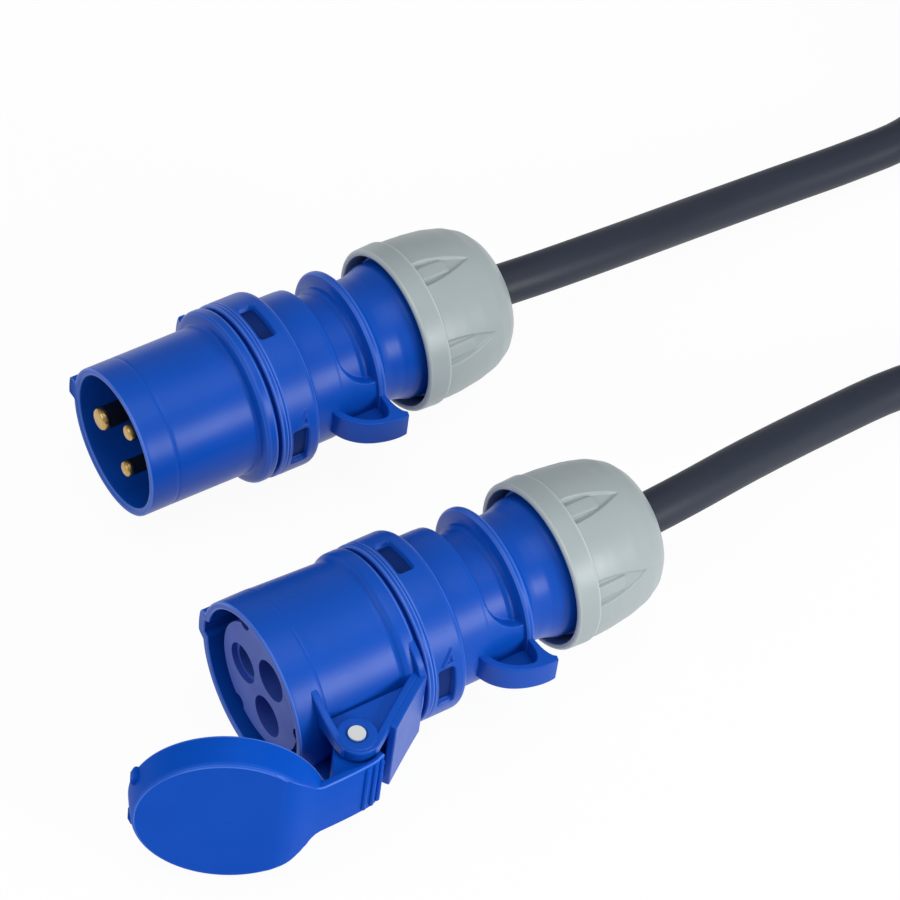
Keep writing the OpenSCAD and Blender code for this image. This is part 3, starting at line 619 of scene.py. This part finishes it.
def nut_relief(t, r, phi):
    """Six leaf-shaped pockets behind the shoulder, square in front and pointed behind, with a
    raised tab in each."""
    along = np.clip((t - pocket_t) / pocket_long, 0, 1)
    half = pocket_half * (1 - along ** 1.9)
    for mid in pocket_mids:
        off = np.abs(nut_r * np.radians(about(phi, mid)))
        pocket = rise(half - off, 0.35, 0.7) * (pocket_deep - pocket_fade * along) * rise(t, pocket_t, 0.4)
        tab = np.hypot(np.clip(off - tab_half, 0, None), np.clip(t - tab_t, 0, None))
        r = r - pocket * (1 - tab_high * (1 - rise(tab, tab_round, 0.7)))
    return r


# The lighter grey given for sharp edges is a painted highlight.
nut_grey = finish_of("nut_nylon", srgb(158, 168, 169), srgb(149, 159, 159), clouds=50, grain=2400,
                     gloss=(0.32, 0.44), bump=0.10, specular=0.35, painted_highlight=srgb(190, 198, 198))
nut_near = np.add.outer(pocket_mids, np.arange(-11, 11.1, 0.5)).ravel()
nut_angles = np.unique(np.round(np.concatenate([np.arange(0, 360, 2.0), nut_near]), 1))
for side, place in ends:
    nut = turned(side + "_nut", nut_line, outer=14, ease=0.7, step=0.45, angles=nut_angles,
                 place=place, relief=nut_relief)
    fitted(nut, nut_grey, "grey_nut", side + "_gland_nut")
dress(finish_of("seal_rubber", srgb(34, 34, 36), srgb(46, 46, 48), clouds=90, grain=1500,
                gloss=(0.6, 0.8), bump=0.2), "plug_gland_seal", "connector_gland_seal")
dress(finish_of("clamp_nylon", srgb(206, 208, 204), srgb(192, 194, 190), clouds=60, grain=2000,
                gloss=(0.4, 0.6), bump=0.1), "plug_gland_clamp", "connector_gland_clamp")

# ---------------------------------------------------------------- the connector's front shell
# Blue nylon mouth with a keyway bulge and a plain body that flares to the collar. On the other
# side, moulded with it, two ears with rims, fins and a guard wall carry the lid's hinge.
mouth_r, mouth_parting = 25, 9.0
bulge_half, bulge_high = 4.4, 2.3
slot_half, slot_deep, slot_end = 3.2, 1.7, 27.4
conn_front_line = [
    (0, 23.6), (0, 25.0), (0.4, 25.4), (8.5, 25.4), (8.8, 25.4), (9.0, 25.4), (9.2, 25.4), (9.5, 25.4),
    (12, 25.2), (32.4, 24.4), (33.1, 24.7), (33.8, 25.4), (34.8, 25.8), (38.1, 25.8), (38.7, 25.2),
    (38.7, 23.4), (47.5, 23.4), (47.5, 21.4), (38.5, 21.4), (38.5, 21.2), (27.5, 21.2), (27.5, 23.2),
    (12, 23.2), (0.4, 23.2)]


def conn_front_relief(t, r, phi):
    """The keyway at angle 0, a slot inside the mouth with a low bulge outside it, and a fine
    parting line."""
    across = beside_key(phi, mouth_r)
    r = r - parting(t, mouth_parting, 0.14)
    bulge = bulge_high * band(across, -bulge_half, bulge_half, 2.4) * (1 - rise(t, 12, 8))
    slot = slot_deep * band(across, -slot_half, slot_half, 1.0) * (t < slot_end) * (r > 22.9)
    return r + np.where(r > 24.0, bulge, slot)


conn_front_angles = around(1.5, (-13, -10, -7, 7, 10, 13), 1.5)
conn_front = turned("connector_front", conn_front_line, outer=len(conn_front_line), ease=0.6, step=0.9,
                    angles=conn_front_angles, place=conn_at, relief=conn_front_relief)
fitted(conn_front, blue_shell, "blue_shell", "connector_front_shell")

ear_rim = np.array([(7.6, -20.0), (6.6, -25.0), (5.9, -30.6), (6.6, -35.6), (9.4, -38.6), (13.6, -39.1),
                    (17.4, -37.2), (24.0, -32.6), (31.0, -27.8), (38.0, -23.2)])
rim_wide, guard_start, guard_wide, slot_y = 2.2, 20.8, 1.9, -23.5
rim_line = through(ear_rim, 5)
rim_way = unit(np.gradient(rim_line, axis=0))
rim_side = np.stack([-rim_way[:, 1], rim_way[:, 0]], 1)
inset = rim_line + 0.1 * rim_side
ear_top = inset[rim_line[:, 1] < slot_y]
ear_under = np.concatenate([inset, [(37.5, -17.0), (20.0, -19.0)]])
ear_border = np.concatenate([rim_line, (rim_line + rim_wide * rim_side)[::-1]])
along_guard = rim_line[:, 0] > guard_start
guard = np.concatenate([(rim_line + 0.4 * rim_side)[along_guard],
                        (rim_line - guard_wide * rim_side)[along_guard][::-1]])
front_fin = np.array([(-16.5, 18.6), (-20.0, 16.6), (-26.0, 13.8), (-31.5, 12.4), (-35.5, 12.2),
                      (-35.5, 8.6), (-17.0, 8.6)])
back_fin = np.array([(-16.5, 19.4), (-20.4, 17.4), (-23.4, 14.8), (-25.0, 12.2), (-25.0, 8.6),
                     (-16.0, 8.6)])
lying, standing = (0, 1, 2), (1, 2, 0)
for name, outline, low, high, axes in (
        ("ear_up", ear_top, 8.4, 10.4, lying), ("rim_up", ear_border, 8.5, 12.2, lying),
        ("ear_down", ear_under, -10.4, -8.4, lying), ("rim_down", ear_border, -12.2, -8.5, lying),
        ("guard", guard, -13.5, 12.1, lying),
        ("front_fin_up", front_fin, 6.0, 8.2, standing), ("back_fin_up", back_fin, 36.4, 38.6, standing),
        ("front_fin_down", front_fin * [1, -1], 6.0, 8.2, standing),
        ("back_fin_down", back_fin * [1, -1], 36.4, 38.6, standing)):
    plate = slab("connector_" + name, outline, low, high, conn_at, ease=0.45, axes=axes)
    fitted(plate, blue_shell, "blue_shell")


def upright(name, line, ease, step, angles, centre):
    """A closed profile of (radius, height) turned about an upright axis."""
    line, _ = rounded(line, ease, step)
    a = np.radians(angles)[None, :]
    grid = np.stack([centre[0] + line[:, :1] * np.cos(a), centre[1] + line[:, :1] * np.sin(a),
                     centre[2] + line[:, 1:] + 0 * a], -1)
    return surface(name, grid, rows_close=True)


hinge_at = conn_at + np.array([12.0, -32.8, 0])
pin_hole, sink = 2.15, 0.4
for name, low, high in (("boss_up", 8.5, 12.5), ("boss_down", -12.5, -8.5)):
    boss_line = [(pin_hole, low), (5.8, low), (5.5, high), (3.0, high), (2.7, high - sink),
                 (pin_hole, high - sink)]
    boss = upright("connector_" + name, boss_line, ease=0.4, step=0.8, angles=np.arange(0, 360, 5.0),
                   centre=hinge_at)
    fitted(boss, blue_shell, "blue_shell")

# ---------------------------------------------------------------- the insert
# A lighter blue moulded block, held behind the mouth by the shell, with three holes that lead
# the pins into the brass sleeves.
dress(finish_of("insert_nylon", srgb(58, 88, 180), srgb(50, 78, 168), clouds=60, grain=2400,
                gloss=(0.42, 0.58), bump=0.12, specular=0.3), "connector_insert")

# ---------------------------------------------------------------- hinge pin, spring and screws
# A plated steel pin pressed through the ears, with a sprung wire coil round it inside the
# knuckle, and the steel screws of the terminals.
bright_pin = finish_of("plated_pin", srgb(224, 228, 225), srgb(208, 213, 210), clouds=120, grain=2600,
                       gloss=(0.28, 0.40), bump=0.10, metallic=0.25)
steel = finish_of("drawn_steel", srgb(214, 218, 216), srgb(196, 200, 198), clouds=120, grain=2600,
                  gloss=(0.25, 0.42), bump=0.12, metallic=1.0)
dress(bright_pin, "hinge_pin")
dress(steel, "lid_spring", "plug_terminal_screws", "connector_terminal_screws")

# ---------------------------------------------------------------- the lid
# Blue nylon cap that swings on the pin: a shallow dish, a bent strap that runs from its face over
# the knuckle's arm to three grip ribs, and two nubs on the far rim. It is drawn shut, then opened.
open_by = np.radians(58)
# The lid's sharp edges take the lighter blue as a painted highlight.
lid_blue = finish_of("lid_nylon", srgb(3, 77, 185), srgb(1, 71, 175), clouds=55, grain=2600,
                     gloss=(0.42, 0.52), bump=0.10, specular=0.05, painted_highlight=highlight_blue)


def opened(grid):
    """Points of the closed lid, turned about the hinge to where it stands open."""
    d = grid - hinge_at
    return hinge_at + np.stack([d[..., 0] * np.cos(open_by) - d[..., 1] * np.sin(open_by),
                                d[..., 0] * np.sin(open_by) + d[..., 1] * np.cos(open_by), d[..., 2]], -1)


strap_out = through(np.array([
    (-9.36, -11.5), (-9.32, -13.5), (-8.9, -16.2), (-8.0, -18.5), (-6.1, -21.6), (-3.2, -26.2),
    (-0.4, -30.6), (2.6, -35.0), (5.2, -38.4), (7.6, -40.3)]), 4)
under_strap = strap_out[:, 0] - 0.1 + 0.22 * np.clip((-strap_out[:, 1] - 13.5) / 3, 0, 1)
dish_wall, dish_mouth, inside_from = 2.4, -0.4, 11
dish_line, dish_side = rounded([
    (-9.4, 0.02), (-9.4, 8), (-9.4, 14), (-9.4, 18), (-9.4, 21), (-9.4, 24.1), (-9.0, 24.6), (-8.4, 24.9),
    (-4.0, 25.6), (-0.9, 25.9), (-0.4, 25.5), (-0.4, 23.8), (-1.0, 23.4), (-6.6, 22.8), (-7.0, 22.0),
    (-7.0, 0.02)], 0.4, 1.0)
dish_inner = (dish_side >= inside_from)[:, None]
dish_a = np.radians(np.arange(0, 360, 2.0))[None, :]
dish_y = dish_line[:, 1:] * np.cos(dish_a)
bent = np.interp(-dish_y, -strap_out[:, 1], under_strap, left=-9.5)
dish_t = np.maximum(dish_line[:, :1], np.minimum(bent + dish_wall * dish_inner, dish_mouth))
dish = conn_at + np.stack([dish_t, dish_y, dish_line[:, 1:] * np.sin(dish_a)], -1)
fitted(surface("lid_dish", opened(dish), rows_close=True, highlight_share=highlight_edges(dish_line)), lid_blue,
       "blue_shell", "lid", body="lid")

strap_way = unit(np.gradient(strap_out, axis=0))
strap_side = np.stack([-strap_way[:, 1], strap_way[:, 0]], 1)
strap_half = 1.15 - 0.42 * rise(-strap_out[:, 1], 33, 6)
strap_edge, strap_blend, face_r, tail_half = 0.5, 2.6, 24.5, 10.0
face_high = np.sqrt(np.clip(face_r ** 2 - strap_out[:, 1] ** 2, 0, None))
strap_high = strap_blend * np.logaddexp(face_high / strap_blend, tail_half / strap_blend)
corner = np.repeat([[1, 1], [-1, 1], [-1, -1], [1, -1]], 5, 0)
corner_a = np.radians(np.arange(4)[:, None] * 90 + np.linspace(0, 90, 5)).ravel()
strap_u = corner[:, 0] * (strap_half[:, None] - strap_edge) + strap_edge * np.cos(corner_a)
strap_v = corner[:, 1] * (strap_high[:, None] - strap_edge) + strap_edge * np.sin(corner_a)
strap_mid = strap_out + strap_half[:, None] * strap_side
strap_flat = strap_mid[:, None] - strap_u[..., None] * strap_side[:, None]
strap = np.concatenate([strap_flat, strap_v[..., None]], -1)
# Two of the strap's long edges take the painted highlight.
strap_highlight = np.outer([1, 0, 0, 1], [0, 0.8, 1, 0.8, 0]).ravel()
fitted(surface("lid_strap", opened(conn_at + strap), highlight_share=strap_highlight), lid_blue, "blue_shell", body="lid")

arm_half = 7.9
arm_inner = np.array([(-7.0, -19.0), (-4.2, -22.4), (-0.9, -25.6), (1.4, -26.7), (5.0, -27.0),
                      (12.0, -27.0)])
arm_outer = np.array([(16.2, -29.0), (18.2, -33.0), (16.4, -37.4), (12.0, -39.1), (7.4, -39.0),
                      (3.6, -35.2), (-4.8, -22.0)])
arm_line = np.concatenate([through(arm_inner, 4), through(arm_outer, 4)])
arm = slab("lid_arm", arm_line, -arm_half, arm_half, conn_at, ease=0.9, moved=opened)
fitted(arm, lid_blue, "blue_shell", body="lid")

rib_a = np.linspace(0, 2 * np.pi, 16, endpoint=False)[None, :]
rib_z = np.array([-9.2, -9.0, -8.4, 8.4, 9.0, 9.2])[:, None]
rib_r = np.array([0.05, 0.45, 0.75, 0.75, 0.45, 0.05])[:, None]
for number, (rib_t, rib_y) in enumerate(((3.3, -36.1), (4.9, -38.1), (6.6, -39.7))):
    rib = np.stack([rib_t + rib_r * np.cos(rib_a), rib_y + rib_r * np.sin(rib_a), rib_z + 0 * rib_a], -1)
    fitted(surface(f"lid_rib_{number}", opened(conn_at + rib)), lid_blue, "blue_shell", body="lid")

nub_line = np.array([(24.6, -1.9), (26.5, -1.7), (26.8, -1.2), (26.8, 1.2), (26.5, 1.7), (24.6, 1.9)])
for name, nub_a in (("lid_nub_up", np.radians(20)), ("lid_nub_down", np.radians(-20))):
    nub = np.stack([nub_line[:, 0] * np.cos(nub_a) - nub_line[:, 1] * np.sin(nub_a),
                    nub_line[:, 0] * np.sin(nub_a) + nub_line[:, 1] * np.cos(nub_a)], 1)
    nub = slab(name, nub, -4.4, -0.5, conn_at, ease=0.4, axes=standing, moved=opened)
    fitted(nub, lid_blue, "blue_shell", body="lid")

# ---------------------------------------------------------------- the cores
# Three insulated copper wires in each end, led from the cut sheath to the terminals: earth in
# yellow and green, line in brown, neutral in blue.
for name, colour, second, clouds in (("earth", srgb(150, 176, 52), srgb(90, 140, 50), 160),
                                     ("line", srgb(112, 70, 42), srgb(98, 60, 36), 90),
                                     ("neutral", srgb(70, 110, 176), srgb(60, 98, 160), 90)):
    insulation = finish_of(name + "_core", colour, second, clouds=clouds, grain=1800, gloss=(0.4, 0.6),
                           bump=0.1)
    dress(insulation, f"plug_{name}_core", f"connector_{name}_core")
